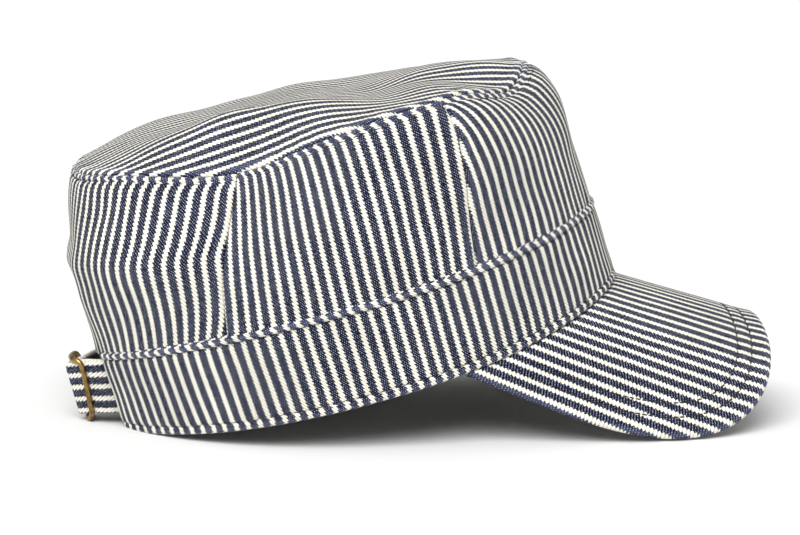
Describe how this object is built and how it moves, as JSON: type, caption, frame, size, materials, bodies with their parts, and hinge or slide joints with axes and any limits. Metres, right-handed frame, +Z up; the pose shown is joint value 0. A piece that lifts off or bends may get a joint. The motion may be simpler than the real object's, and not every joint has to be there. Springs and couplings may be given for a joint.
{
  "type": "work cap",
  "caption": "Soft striped twill work cap with an oval top, upright walls, a band open at the back, a stiff curved peak and a back strap with a brass slide.",
  "frame": {"origin": "middle of the cap's footprint, on the surface that it rests on", "axes": "+X to the peak, +Y to the wearer's left, +Z up"},
  "size_m": [0.2788, 0.1804, 0.1399],
  "materials": {
    "striped_twill": "matt cotton twill, deep navy with narrow cream stripes",
    "peak_twill": "the same twill over a stiff board, with stitched rows",
    "brass": "antique brass, worn smooth on the high spots"
  },
  "bodies": {
    "root": {"top_panel": "striped_twill", "front_panel": "striped_twill", "side_panel_right": "striped_twill", "side_panel_left": "striped_twill", "back_panel": "striped_twill", "hat_band": "striped_twill", "peak": "peak_twill", "strap": "striped_twill", "strap_tab": "striped_twill", "buckle": "brass"}
  },
  "joints": []
}
